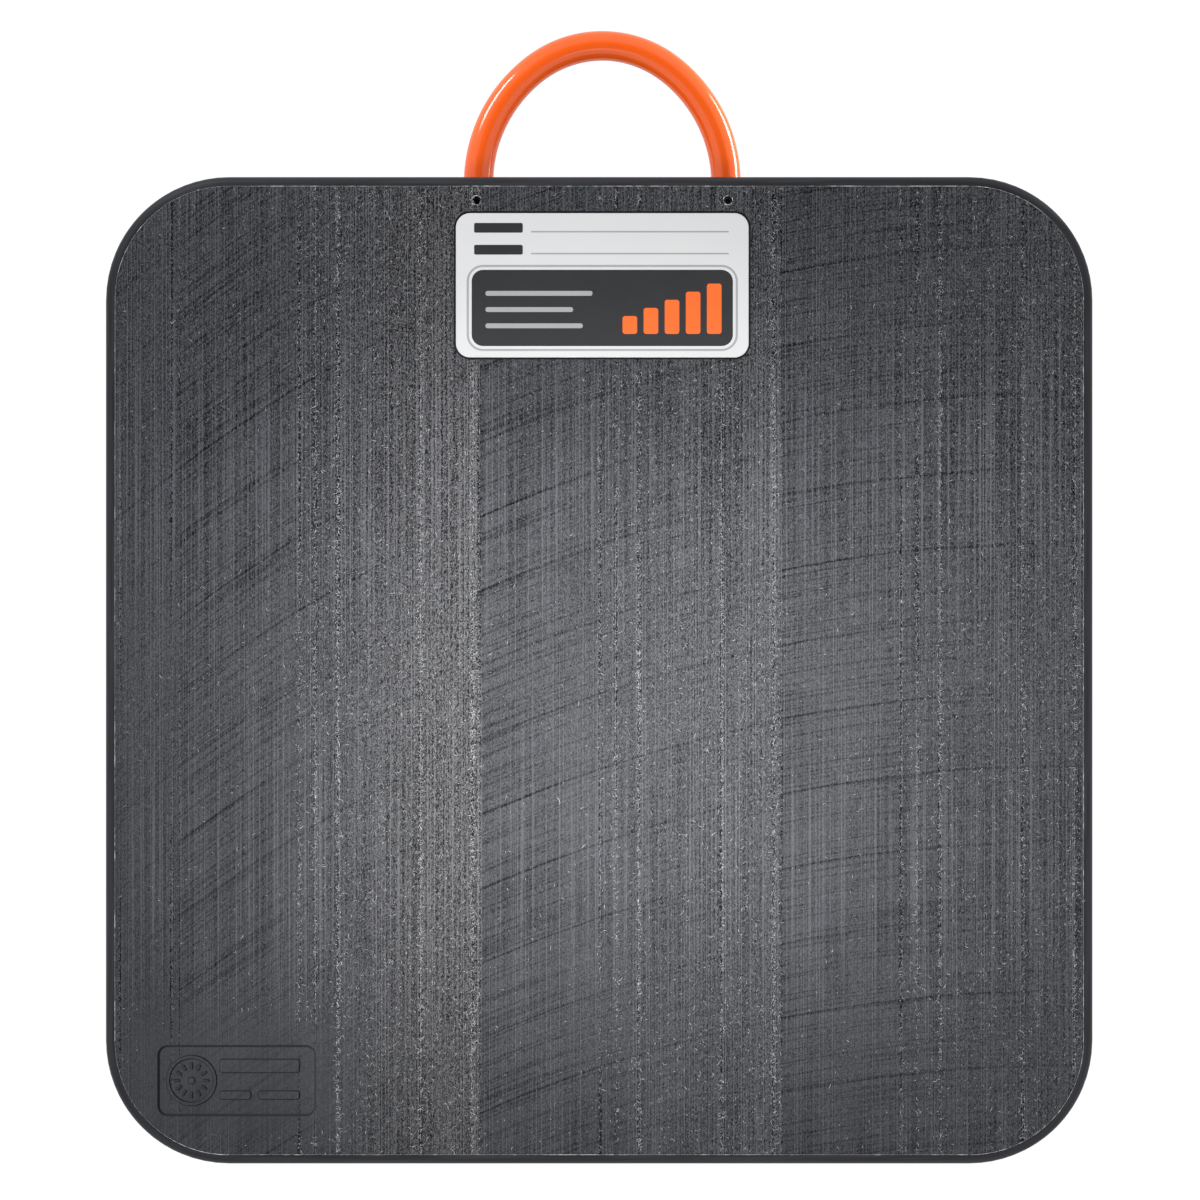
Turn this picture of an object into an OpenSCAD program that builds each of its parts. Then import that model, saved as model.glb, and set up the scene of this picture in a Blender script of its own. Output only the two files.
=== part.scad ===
// Crane outrigger pad with a loop carry handle.
// The pad lies flat as in use: +Z is up through the labelled load face, +Y points
// out past the handle, and the origin is the centre of the ground face.
// All sizes are in millimetres.

/* [Pad] */
// Width of the pad along X
pad_w = 609.6; // [450:0.1:900]
// Length of the pad along Y, without the handle
pad_l = 609.6; // [450:0.1:900]
// Thickness of the pad
pad_t = 76.2; // [60:0.1:110]
// Radius of the four corners, seen from above
corner_r = 76.2; // [40:0.1:90]
// Radius of the round-over along the upper and lower edges
edge_r = 6.35; // [3:0.05:10]
// Small shoulder that the round-over leaves below each face
edge_step = 0.3; // [0.1:0.05:1]

/* [Fittings] */
// How far the handle, its screws and the label plate sit off centre along X
fittings_shift = 1.9; // [-10:0.1:10]

/* [Handle] */
// Diameter of the handle's round section
handle_d = 18.8; // [14:0.1:26]
// Distance between the centres of the two legs
handle_span = 155; // [120:0.5:175]
// Height of the crown's centre line above the pad's rear edge
handle_rise = 86; // [65:0.5:120]
// Length of each leg inside the pad
handle_leg = 60; // [35:1:90]
// Chamfer at the end of each leg
leg_chamfer = 1.5; // [0.5:0.1:3]
// Radial clearance of a leg in its bore
handle_fit = 0.3; // [0.1:0.05:0.6]

/* [Set screws] */
// Outer diameter of a set screw
screw_d = 5; // [4:0.1:8]
// Distance of the screws from the pad's rear edge
screw_inset = 15; // [11:0.1:17]
// Depth of the right screw's head below the load face
screw_sink = 2.2; // [1:0.1:6]
// How much deeper the left screw is driven than the right one
screw_extra = 3.3; // [0:0.1:5]
// Depth to which the right screw's point enters the leg
screw_bite = 1.5; // [0.5:0.1:3]
// Chamfer at both ends of a screw
screw_chamfer = 0.5; // [0.2:0.1:1]
// Width of the hexagon socket across its flats
socket_af = 2.5; // [2:0.1:3]
// Depth of the hexagon socket
socket_depth = 3; // [1.5:0.1:5]
// Radial clearance of a screw in its hole
screw_fit = 0.15; // [0.05:0.05:0.4]

/* [Label plate] */
// Width of the label plate
label_w = 180.5; // [100:0.5:240]
// Height of the label plate along Y
label_h = 89; // [50:0.5:140]
// Thickness of the label plate
label_t = 1.5; // [0.8:0.1:3]
// Corner radius of the label plate
label_r = 8.8; // [3:0.1:20]
// Radius of the plate's eased edges
label_edge_r = 0.4; // [0.2:0.05:0.4]
// Distance of the plate's rear edge from the pad's rear edge
label_inset = 22.9; // [22:0.1:60]
// Gap around the plate in its routed pocket
label_gap = 1.2; // [0.3:0.1:2]
// Depth of the plate's face below the load face
label_sink = 0.3; // [0:0.1:1]

/* [Marking panel] */
// Width of the sunk marking panel
panel_w = 98; // [60:0.5:150]
// Height of the sunk marking panel along Y
panel_h = 44; // [25:0.5:80]
// Corner radius of the panel
panel_r = 6.5; // [2:0.1:12]
// Depth of the panel below the load face
panel_depth = 0.8; // [0.3:0.1:2]
// Distance of the panel from the pad's left edge
panel_from_left = 32.5; // [28:0.5:80]
// Distance of the panel from the pad's front edge
panel_from_front = 30; // [28:0.5:80]

/* [Hidden] */
$fn = 96;

pad_colour = "#5B5C60";
handle_colour = "#E75C21";
screw_colour = "#2A2A2C";
label_colour = "#E4E4E4";

// Cutters start this far outside the face that they cut
over = 1;

// The handle's bend is a three-centred arch: a tight crown arc between two wider shoulder
// arcs. Each shoulder leaves its leg upright and meets the crown, tangent to it, on a line
// through both centres that climbs 4 for each 3 across, which makes both radii plain sums.
// The bend is held to whole thousandths of a millimetre, so that the arcs meet exactly.
bend_rise = thousandths(handle_rise);
shoulder_r = thousandths((3 * bend_rise - handle_span / 2) / 2);
half_span = 3 * bend_rise - 2 * shoulder_r;
crown_r = 2 * half_span - bend_rise;
crown_wedge = [[0, 0], [3, 4], [-3, 4]];
shoulder_wedge = [[0, 0], [5, 0], [5, 4], [3, 4]];

// Both screws are alike: the length lets the right one's point bite into its leg.
screw_length = (pad_t - handle_d) / 2 - screw_sink + screw_bite;
screw_hole_r = screw_d / 2 + screw_fit;

label_y = pad_l / 2 - label_inset - label_h / 2;
pocket_depth = label_t + label_sink;

panel_x = (panel_w - pad_w) / 2 + panel_from_left;
panel_y = (panel_h - pad_l) / 2 + panel_from_front;

function thousandths(size) = round(size * 1000) / 1000;

// Height of a screw's point above the ground face, for side -1 (left) or 1 (right)
function screw_point(side) =
    pad_t - screw_sink - (side < 0 ? screw_extra : 0) - screw_length;

// A rectangle with round corners, centred
module round_rectangle(w, h, r) {
    square([w - 2 * r, h], center = true);
    square([w, h - 2 * r], center = true);
    for (x = [-1, 1], y = [-1, 1])
        translate([x * (w / 2 - r), y * (h / 2 - r)])
            circle(r);
}

// Section through a slab's rim: flat faces up to a shoulder, then a round-over
module rim_section(reach, t, round_r, step) {
    square([reach - round_r, t]);
    translate([0, step + round_r])
        square([reach, t - 2 * (step + round_r)]);
    for (y = [step + round_r, t - step - round_r])
        translate([reach - round_r, y])
            circle(round_r);
}

// A slab with round corners: one rim section runs along its four sides and round its corners
module rimmed_slab(w, l, t, r, round_r, step) {
    translate([-w / 2 + r, -l / 2 + r, 0])
        cube([w - 2 * r, l - 2 * r, t]);
    for (side = [0 : 3]) {
        out = (side % 2 == 0 ? w : l) / 2 - r;
        along = (side % 2 == 0 ? l : w) - 2 * r;
        rotate(90 * side)
            translate([out, 0, 0])
                rotate([90, 0, 0])
                    linear_extrude(along, center = true)
                        rim_section(r, t, round_r, step);
        translate([(side == 0 || side == 3 ? 1 : -1) * (w / 2 - r), (side < 2 ? 1 : -1) * (l / 2 - r), 0])
            rotate(90 * side)
                rotate_extrude(angle = 90)
                    rim_section(r, t, round_r, step);
    }
}

// Places what follows at a screw's axis, on the ground plane: side -1 (left) or 1 (right)
module at_screw(side) {
    translate([fittings_shift + side * half_span, pad_l / 2 - screw_inset, 0])
        children();
}

module pad() {
    color(pad_colour)
        difference() {
            rimmed_slab(pad_w, pad_l, pad_t, corner_r, edge_r, edge_step);
            translate([fittings_shift, label_y, pad_t - pocket_depth])
                linear_extrude(pocket_depth + over)
                    round_rectangle(label_w + 2 * label_gap, label_h + 2 * label_gap, label_r + label_gap);
            translate([panel_x, panel_y, pad_t - panel_depth])
                linear_extrude(panel_depth + over)
                    round_rectangle(panel_w, panel_h, panel_r);
            for (side = [-1, 1]) {
                translate([fittings_shift + side * half_span, pad_l / 2 + over, pad_t / 2])
                    rotate([90, 0, 0])
                        cylinder(h = handle_leg + over, r = handle_d / 2 + handle_fit);
                at_screw(side)
                    translate([0, 0, pad_t / 2])
                        cylinder(h = pad_t / 2 + over, r = screw_hole_r);
            }
        }
}

// A straight leg below the bend, chamfered where it enters its bore
module leg_rod() {
    rotate([90, 0, 0])
        rotate_extrude()
            polygon([[0, 0], [handle_d / 2, 0], [handle_d / 2, handle_leg - leg_chamfer],
                     [handle_d / 2 - leg_chamfer, handle_leg], [0, handle_leg]]);
}

// The stretch of a ring of the handle's round section that lies within a wedge from its centre
module bend(bend_r, wedge) {
    intersection() {
        rotate_extrude()
            translate([bend_r, 0])
                circle(d = handle_d);
        linear_extrude(2 * handle_d, center = true)
            polygon(wedge * (bend_r + handle_d));
    }
}

module handle() {
    color(handle_colour)
        difference() {
            translate([fittings_shift, pad_l / 2, pad_t / 2]) {
                translate([0, bend_rise - crown_r, 0])
                    bend(crown_r, crown_wedge);
                for (left = [0, 1])
                    mirror([left, 0, 0]) {
                        translate([half_span - shoulder_r, 0, 0])
                            bend(shoulder_r, shoulder_wedge);
                        translate([half_span, 0, 0])
                            leg_rod();
                    }
            }
            // A drilled seat in each leg takes the point of its set screw
            for (side = [-1, 1])
                at_screw(side)
                    translate([0, 0, screw_point(side)])
                        cylinder(h = pad_t - screw_point(side), r = screw_hole_r);
        }
}

// A headless screw that stands on its point, with a hexagon socket in its upper end
module set_screw() {
    screw_r = screw_d / 2;
    difference() {
        rotate_extrude()
            polygon([[0, 0], [screw_r - screw_chamfer, 0], [screw_r, screw_chamfer],
                     [screw_r, screw_length - screw_chamfer], [screw_r - screw_chamfer, screw_length],
                     [0, screw_length]]);
        translate([0, 0, screw_length - socket_depth])
            cylinder(h = socket_depth + over, r = socket_af / 2 / cos(30), $fn = 6);
    }
}

module handle_set_screws() {
    color(screw_colour)
        for (side = [-1, 1])
            at_screw(side)
                translate([0, 0, screw_point(side)])
                    set_screw();
}

module label_plate() {
    color(label_colour)
        translate([fittings_shift, label_y, pad_t - pocket_depth])
            rimmed_slab(label_w, label_h, label_t, label_r, label_edge_r, 0);
}

pad();
handle();
handle_set_screws();
label_plate();
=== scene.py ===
import math

import bpy
import numpy as np
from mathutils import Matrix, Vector


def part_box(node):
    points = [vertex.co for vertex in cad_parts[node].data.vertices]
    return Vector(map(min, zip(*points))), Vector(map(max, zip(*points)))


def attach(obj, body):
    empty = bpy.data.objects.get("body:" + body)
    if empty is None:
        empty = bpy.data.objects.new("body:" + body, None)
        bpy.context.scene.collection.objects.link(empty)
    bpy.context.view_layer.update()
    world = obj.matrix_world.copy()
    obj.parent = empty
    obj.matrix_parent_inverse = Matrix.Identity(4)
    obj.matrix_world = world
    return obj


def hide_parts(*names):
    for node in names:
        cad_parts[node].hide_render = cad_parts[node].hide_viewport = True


# A crane outrigger pad: a planed black polyethylene slab with an orange loop handle and a sunk label plate.
# It lies flat, seen from straight above its labelled load face. Sizes are in millimetres.

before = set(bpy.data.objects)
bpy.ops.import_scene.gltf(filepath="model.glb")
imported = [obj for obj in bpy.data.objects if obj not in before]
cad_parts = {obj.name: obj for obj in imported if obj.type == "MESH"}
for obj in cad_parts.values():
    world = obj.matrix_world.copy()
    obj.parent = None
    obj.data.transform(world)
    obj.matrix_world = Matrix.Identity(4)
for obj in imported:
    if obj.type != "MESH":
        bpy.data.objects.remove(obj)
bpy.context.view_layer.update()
mm = 0.001

padLow, padHigh = (np.array(corner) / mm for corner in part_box("pad"))
labelLow, labelHigh = (np.array(corner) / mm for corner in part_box("label_plate"))
handleLow, handleHigh = (np.array(corner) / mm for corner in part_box("handle"))
screwLow, screwHigh = (np.array(corner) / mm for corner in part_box("handle_set_screws"))
print("frame: pad", np.round(padHigh - padLow, 1), "mm, label", np.round(labelHigh - labelLow, 1), "mm")

padSizes = {
    "face": padHigh[2],  # height of the load face
    "corner": 76.2,  # corner radius seen from above
    "edge": 6.35,  # round-over along the face
    "fittings": (labelLow[0] + labelHigh[0]) / 2,  # centre line of handle, screws and label
    "panel": (-223.3, -252.8),  # centre of the sunk marking panel
    "panelSize": (98.0, 44.0),
    "panelDepth": 0.8,
}


def hexColour(text):
    # an sRGB hex value to linear: straight below 0.04045, a power of 2.4 above it
    srgb = np.array([int(text[at:at + 2], 16) for at in (1, 3, 5)]) / 255
    linear = np.where(srgb <= 0.04045, srgb / 12.92, ((srgb + 0.055) / 1.055) ** 2.4)
    return (*linear.tolist(), 1.0)


def addNode(tree, kind, inputs, output=0, **settings):
    # one node with its settings; each input is joined to a socket or set to a value; one output comes back
    node = tree.nodes.new("ShaderNode" + kind)
    for name, value in settings.items():
        setattr(node, name, value)
    for name, value in inputs.items():
        if isinstance(value, bpy.types.NodeSocket):
            tree.links.new(value, node.inputs[name])
        else:
            node.inputs[name].default_value = value
    return node.outputs[output]


def newMaterial(name):
    # an empty material: its node tree, its shader and the Object coordinates turned into millimetres
    material = bpy.data.materials.new(name)
    material.use_nodes = True
    tree = material.node_tree
    shader = tree.nodes["Principled BSDF"]
    objectPlace = addNode(tree, "TexCoord", {}, "Object")
    place = addNode(tree, "Mapping", {"Vector": objectPlace, "Scale": (1 / mm, 1 / mm, 1 / mm)})
    return material, tree, shader, place


def addPiece(name, points, faces, material, slot, smooth=True):
    # points in millimetres and faces as lists of corners become one object that rides on the pad
    mesh = bpy.data.meshes.new(name)
    mesh.from_pydata((np.asarray(points).reshape(-1, 3) * mm).tolist(), [], faces)
    mesh.polygons.foreach_set("use_smooth", np.full(len(mesh.polygons), smooth))
    mesh.materials.append(material)
    mesh.validate()
    mesh.update()
    piece = bpy.data.objects.new(name, mesh)
    bpy.context.scene.collection.objects.link(piece)
    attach(piece, "root")
    print("piece:", name, len(mesh.polygons), "faces")
    return piece


def gridFaces(rows, columns, closedRows=False):
    # quads between neighbouring rows of a grid whose columns close on themselves, outwards where columns turn
    # anticlockwise as rows go up
    row = np.arange(rows if closedRows else rows - 1)[:, None]
    column = np.arange(columns)[None, :]
    up = (row + 1) % rows
    right = (column + 1) % columns
    corners = (row * columns + column, row * columns + right, up * columns + right, up * columns + column)
    return np.stack(np.broadcast_arrays(*corners), axis=-1).reshape(-1, 4).tolist()


def roundedOutline(width, height, radius, steps):
    # a rectangle with round corners, anticlockwise: each corner's centre plus the radius times the cosine and
    # sine of an angle that goes through that corner's own quarter turn
    turn = (np.arange(4)[:, None] + np.linspace(0, 1, steps)) * np.pi / 2
    sideX = np.array([1, -1, -1, 1])[:, None]
    sideY = np.array([1, 1, -1, -1])[:, None]
    x = sideX * (width / 2 - radius) + radius * np.cos(turn)
    y = sideY * (height / 2 - radius) + radius * np.sin(turn)
    return np.stack([x, y], axis=-1).reshape(-1, 2)


def easedSlab(centre, size, radius, low, high, ease, turn=0.0, steps=8):
    # a low closed block with round corners: the outline climbs from low to high and draws in by the ease on a
    # quarter circle; the two end rings are closed by one flat face each
    bend = np.linspace(0, np.pi / 2, 4 if ease else 1)
    insets = np.concatenate([[0], ease * (1 - np.cos(bend))])
    heights = np.concatenate([[low], high - ease + ease * np.sin(bend)])
    rings = np.stack([roundedOutline(size[0] - 2 * inset, size[1] - 2 * inset, radius - inset, steps)
                      for inset in insets])
    spin = np.array([[math.cos(turn), math.sin(turn)], [-math.sin(turn), math.cos(turn)]])
    flat = rings @ spin + np.asarray(centre)
    count = rings.shape[1]
    points = np.concatenate([flat, np.broadcast_to(heights[:, None, None], (*flat.shape[:2], 1))], axis=-1)
    top = np.arange(count) + count * (len(insets) - 1)
    faces = gridFaces(len(insets), count) + [np.arange(count)[::-1].tolist(), top.tolist()]
    return points.reshape(-1, 3), faces


def joinShapes(shapes):
    # several (points, faces) pairs as one, each shape's corners counted on from the last one's
    allPoints = np.concatenate([points for points, faces in shapes])
    starts = np.cumsum([0] + [len(points) for points, faces in shapes[:-1]])
    allFaces = []
    for (points, faces), start in zip(shapes, starts):
        allFaces += [[corner + start for corner in face] for face in faces]
    return allPoints, allFaces


def ribbonLoop(path, section):
    # a closed path, anticlockwise, with a small closed section carried along it: section holds, for each
    # station and corner, the reach outwards, square to the line between the station's two neighbours, and the
    # height; its corners turn from outwards to upwards
    tangent = np.roll(path, -1, axis=0) - np.roll(path, 1, axis=0)
    tangent /= np.linalg.norm(tangent, axis=1, keepdims=True)
    outward = np.stack([tangent[:, 1], -tangent[:, 0]], axis=-1)
    flat = path[:, None, :] + outward[:, None, :] * section[..., :1]
    points = np.concatenate([flat, section[..., 1:]], axis=-1)
    faces = gridFaces(*section.shape[:2], closedRows=True)
    return points.reshape(-1, 3), [face[::-1] for face in faces]


def unevenRun(rng, draws, window, count):
    # chance values along an edge, each the mean of as many neighbours as the window takes in
    return np.convolve(rng.normal(size=draws), np.ones(window) / window, "valid")[:count]


# Planed polyethylene, HDPE cut by a wide planing head and routed round its edges.
# The eye sees a fine grain drawn into lines along the feed, passes that start smooth and end torn and paler,
# dark arcs left by the head, torn lines with white specks, and smooth darker edges.
planing = {
    "dark": "#0F0F11",
    "pale": "#353840",
    "tornPale": "#404045",
    "edgeDark": "#0B0B0D",
    "edgePale": "#323337",
    "passEdge": -259.0,  # left edge of the first whole pass
    "passWidth": 185.5,
    "nicks": (74.0, 84.0, 98.0, 149.0, 181.0),  # in the blades, from a pass's left edge; each tears a line
    "nickWear": (0.3, 0.4, 1.0, 0.8, 0.9),  # how many threads each nick pulls up
    "laterTear": 0.45,  # how much the later passes tear beside the first
    "scuffs": ((-128.8, 117.0), (74.4, 135.4), (-48.7, -135.4)),  # centres of the dark smears
    "scuffSize": (19.0, 38.0),
    "nickReach": (1.3, 0.5),  # a torn line grows from nothing to full between these distances from it
    "grainSize": (0.45, 0.75),  # of one cell, across and along the feed, as fine as the picture can show
    "bite": (-90.0, 210.0),  # from front to rear the marks grow stronger, the specks more and the tone a little darker
    "biteGain": 0.4,  # how much stronger all marks grow on the way
    "panelFade": (2.0, 38.0),  # distances from the panel between which the marks come back
    "meanTone": 0.46,  # of the planed face, from dark to pale
    "arcRadius": 908.0,  # sweep of the planing head
    "arcCentre": 290.0,
    "arcStep": 46.0,  # from one deep arc to the next
    "rippleSize": (40.0, 40.0, 0.8),  # of the bands on a routed edge
    "faceRough": (0.54, 0.64),
    "edgeRough": (0.40, 0.55),
    "lineHeight": 0.06,
    "rippleHeight": 0.05,
    "ior": 1.54,
}


def planedPolyethylene():
    material, tree, shader, place = newMaterial("planed_polyethylene")
    axes = addNode(tree, "SeparateXYZ", {"Vector": place}).node.outputs
    x, y, z = axes["X"], axes["Y"], axes["Z"]

    # Both faces are planed: all that lies within 0.1 mm of the slab's full thickness
    half = padSizes["face"] / 2
    fromMiddle = addNode(tree, "Math", {0: z, 1: half}, operation="SUBTRACT")
    offMiddle = addNode(tree, "Math", {0: fromMiddle}, operation="ABSOLUTE")
    outer = addNode(tree, "Math", {0: offMiddle, 1: half - 0.1}, operation="GREATER_THAN")

    # How far across its pass a place lies, 0 at the left edge and 1 at the right: arcs show at the start, and
    # towards the end the blades tear more and more; the strip left of the first whole pass stays smooth
    fromEdge = addNode(tree, "Math", {0: x, 1: planing["passEdge"]}, operation="SUBTRACT")
    passes = addNode(tree, "Math", {0: fromEdge, 1: planing["passWidth"]}, operation="DIVIDE")
    across = addNode(tree, "Math", {0: passes}, operation="FRACT")
    tearing = addNode(tree, "MapRange", {"Value": across, "From Min": 0.25, "From Max": 0.95},
                      interpolation_type="SMOOTHSTEP")
    whole = addNode(tree, "Math", {0: fromEdge, 1: 0.0}, operation="GREATER_THAN")
    tearing = addNode(tree, "Math", {0: tearing, 1: whole}, operation="MULTIPLY")
    passNumber = addNode(tree, "Math", {0: passes}, operation="FLOOR")
    tearShare = addNode(tree, "MapRange", {"Value": passNumber, "To Min": 1.0,
                                           "To Max": planing["laterTear"]})
    torn = addNode(tree, "Math", {0: tearing, 1: tearShare}, operation="MULTIPLY")
    clean = addNode(tree, "MapRange", {"Value": across, "From Min": 0.0, "From Max": 0.9, "To Min": 1.0,
                                       "To Max": 0.25})

    # Places on one arc of the planing head share a height above its circle
    side = addNode(tree, "Math", {0: x, 1: planing["arcCentre"]}, operation="SUBTRACT")
    sideSquare = addNode(tree, "Math", {0: side, 1: side}, operation="MULTIPLY")
    rest = addNode(tree, "Math", {0: planing["arcRadius"] ** 2, 1: sideSquare}, operation="SUBTRACT")
    circle = addNode(tree, "Math", {0: rest}, operation="SQRT")
    arcHeight = addNode(tree, "Math", {0: y, 1: circle}, operation="SUBTRACT")
    arcPlace = addNode(tree, "CombineXYZ", {"X": arcHeight, "Y": x})

    # Grain: small cells, each with chance tones of its own
    cellWidth, cellLength = planing["grainSize"]
    cellPlace = addNode(tree, "Mapping", {"Vector": place, "Scale": (1 / cellWidth, 1 / cellLength, 1.0)})
    cells = addNode(tree, "TexVoronoi", {"Vector": cellPlace, "Scale": 1.0}, "Color", voronoi_dimensions="2D")
    chance = addNode(tree, "SeparateColor", {"Color": cells}).node.outputs
    grain = addNode(tree, "Math", {0: chance["Red"], 1: chance["Green"]}, operation="ADD")
    specks = addNode(tree, "MapRange", {"Value": chance["Blue"], "From Min": 0.85})

    # Noise drawn out along the feed or along the arcs: size across and along in mm, and detail
    layers = {
        "lines": (place, (0.8, 240.0), 0.0),
        "bands": (place, (7.0, 170.0), 0.0),
        "clouds": (place, (45.0, 120.0), 1.0),
        "arcs": (arcPlace, (1.5, 140.0), 1.0),
    }
    noise = {}
    for name, (source, size, detail) in layers.items():
        spot = addNode(tree, "Mapping", {"Vector": source, "Scale": (1 / size[0], 1 / size[1], 1.0)})
        noise[name] = addNode(tree, "TexNoise", {"Vector": spot, "Scale": 1.0, "Detail": detail},
                              noise_dimensions="2D")

    # Parts of that noise, each spread over a range of its own
    spans = {
        "lines": ("lines", 0.28, 0.72, -0.5, 0.5),
        "thinLines": ("lines", 0.68, 0.78, 0.0, 1.0),
        "bands": ("bands", 0.3, 0.7, -0.5, 0.5),
        "breaks": ("bands", 0.35, 0.58, 0.0, 1.0),
        "clouds": ("clouds", 0.3, 0.7, -0.5, 0.5),
        "worn": ("clouds", 0.60, 0.75, 0.0, 1.0),
        "arcs": ("arcs", 0.54, 0.63, 0.0, 1.0),
    }
    mark = {}
    for name, (source, low, high, least, most) in spans.items():
        mark[name] = addNode(tree, "MapRange", {"Value": noise[source], "From Min": low, "From Max": high,
                                                "To Min": least, "To Max": most})

    # Deep arcs: soft dark lines one step apart, a little uneven, that fade less across a pass
    arcCount = addNode(tree, "Math", {0: arcHeight, 1: planing["arcStep"]}, operation="DIVIDE")
    uneven = addNode(tree, "Math", {0: noise["clouds"], 1: 0.05, 2: arcCount}, operation="MULTIPLY_ADD")
    arcTurn = addNode(tree, "Math", {0: uneven, 1: 0.5}, operation="PINGPONG")
    deepArc = addNode(tree, "MapRange", {"Value": arcTurn, "From Min": 0.004, "From Max": 0.026,
                                         "To Min": 1.0, "To Max": 0.0})
    arcMarks = addNode(tree, "Math", {0: mark["arcs"], 1: clean}, operation="MULTIPLY")
    fading = addNode(tree, "MapRange", {"Value": across, "To Min": 1.0, "To Max": 0.45})
    deepMarks = addNode(tree, "Math", {0: deepArc, 1: fading}, operation="MULTIPLY")

    # Torn lines: close to a nick's line or a pass's left edge, with breaks, and darkened by painted shadow
    # beside their threads; pale specks on them, in the torn part of a pass, and more and more towards the
    # rear
    offset = addNode(tree, "Math", {0: across, 1: planing["passWidth"]}, operation="MULTIPLY")
    nearest = offset
    for nick in planing["nicks"]:
        gap = addNode(tree, "Math", {0: offset, 1: nick}, operation="SUBTRACT")
        distance = addNode(tree, "Math", {0: gap}, operation="ABSOLUTE")
        nearest = addNode(tree, "Math", {0: nearest, 1: distance}, operation="MINIMUM")
    onLine = addNode(tree, "MapRange", {"Value": nearest, "From Min": planing["nickReach"][0],
                                        "From Max": planing["nickReach"][1]})
    tornLineAndShadow = addNode(tree, "Math", {0: onLine, 1: mark["breaks"]}, operation="MULTIPLY")
    lineSpecks = addNode(tree, "Math", {0: tornLineAndShadow, 1: specks}, operation="MULTIPLY")
    tornSpecks = addNode(tree, "Math", {0: torn, 1: specks}, operation="MULTIPLY")
    bite = addNode(tree, "MapRange", {"Value": y, "From Min": planing["bite"][0],
                                      "From Max": planing["bite"][1]})
    biteSpecks = addNode(tree, "Math", {0: bite, 1: specks}, operation="MULTIPLY")

    # Scuffs: ellipses that fade outwards, broken up along the lines
    scuff = 0.0
    for centreX, centreY in planing["scuffs"]:
        width, length = planing["scuffSize"]
        spot = addNode(tree, "Mapping", {"Vector": place, "Scale": (1 / width, 1 / length, 0.0),
                                         "Location": (-centreX / width, -centreY / length, 0.0)})
        fromCentre = addNode(tree, "VectorMath", {0: spot}, "Value", operation="LENGTH")
        dark = addNode(tree, "MapRange", {"Value": fromCentre, "From Min": 1.0, "From Max": 0.2})
        scuff = addNode(tree, "Math", {0: scuff, 1: dark}, operation="MAXIMUM")
    scuff = addNode(tree, "Math", {0: scuff, 1: mark["breaks"]}, operation="MULTIPLY")

    # The marking panel was pressed into the planed face: in it and a few centimetres round it the marks fade
    beside = []
    for axis, centre, width in zip((x, y), padSizes["panel"], padSizes["panelSize"]):
        off = addNode(tree, "Math", {0: axis, 1: centre}, operation="SUBTRACT")
        reach = addNode(tree, "Math", {0: off}, operation="ABSOLUTE")
        beyond = addNode(tree, "Math", {0: reach, 1: width / 2}, operation="SUBTRACT")
        beside.append(addNode(tree, "Math", {0: beyond, 1: 0.0}, operation="MAXIMUM"))
    toPanel = addNode(tree, "CombineXYZ", {"X": beside[0], "Y": beside[1]})
    panelGap = addNode(tree, "VectorMath", {0: toPanel}, "Value", operation="LENGTH")
    marked = addNode(tree, "MapRange", {"Value": panelGap, "From Min": planing["panelFade"][0],
                                        "From Max": planing["panelFade"][1], "To Min": 0.4})
    sunk = addNode(tree, "Math", {0: panelGap, 1: 0.5}, operation="LESS_THAN")
    normal = addNode(tree, "TexCoord", {}, "Normal")
    facing = addNode(tree, "SeparateXYZ", {"Vector": normal}).node.outputs
    level = addNode(tree, "Math", {0: facing["Z"], 1: 0.97}, operation="GREATER_THAN")
    pressed = addNode(tree, "Math", {0: sunk, 1: level}, operation="MULTIPLY")
    planed = addNode(tree, "Math", {0: outer, 1: pressed}, operation="MAXIMUM")

    # Tone of the planed face, 0 for dark and 1 for pale: what each mark adds to it
    depth = addNode(tree, "Math", {0: torn, 1: 0.42, 2: 0.32}, operation="MULTIPLY_ADD")
    depth = addNode(tree, "Math", {0: tornLineAndShadow, 1: 0.7, 2: depth}, operation="MULTIPLY_ADD")
    relief = addNode(tree, "Math", {0: grain, 1: 1.0}, operation="SUBTRACT")
    relief = addNode(tree, "Math", {0: mark["lines"], 1: 0.65, 2: relief}, operation="MULTIPLY_ADD")
    marks = addNode(tree, "Math", {0: relief, 1: depth}, operation="MULTIPLY")
    # the torn lines' negative share is painted shadow beside the threads that stand on them
    shares = ((mark["bands"], 0.05), (mark["thinLines"], 0.25), (tornSpecks, 0.33), (biteSpecks, 0.75),
              (tornLineAndShadow, -0.20), (lineSpecks, 1.2), (arcMarks, -0.18), (deepMarks, -0.22))
    for part, share in shares:
        marks = addNode(tree, "Math", {0: part, 1: share, 2: marks}, operation="MULTIPLY_ADD")
    gain = addNode(tree, "Math", {0: bite, 1: planing["biteGain"], 2: 1.0}, operation="MULTIPLY_ADD")
    markGain = addNode(tree, "Math", {0: marked, 1: gain}, operation="MULTIPLY")
    tone = addNode(tree, "Math", {0: marks, 1: markGain, 2: planing["meanTone"]},
                   operation="MULTIPLY_ADD")
    tints = ((bite, -0.005), (mark["clouds"], 0.08), (mark["worn"], -0.08), (torn, 0.02), (scuff, -0.13))
    for part, share in tints:
        tone = addNode(tree, "Math", {0: part, 1: share, 2: tone}, operation="MULTIPLY_ADD")
    tone = addNode(tree, "Math", {0: tone, 1: 0.0}, operation="MAXIMUM")
    pale = addNode(tree, "Mix", {"Factor": torn, 6: hexColour(planing["pale"]),
                                 7: hexColour(planing["tornPale"])}, 2, data_type="RGBA")
    faceColour = addNode(tree, "Mix", {"Factor": tone, 6: hexColour(planing["dark"]), 7: pale},
                         2, data_type="RGBA", clamp_factor=False)
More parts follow.
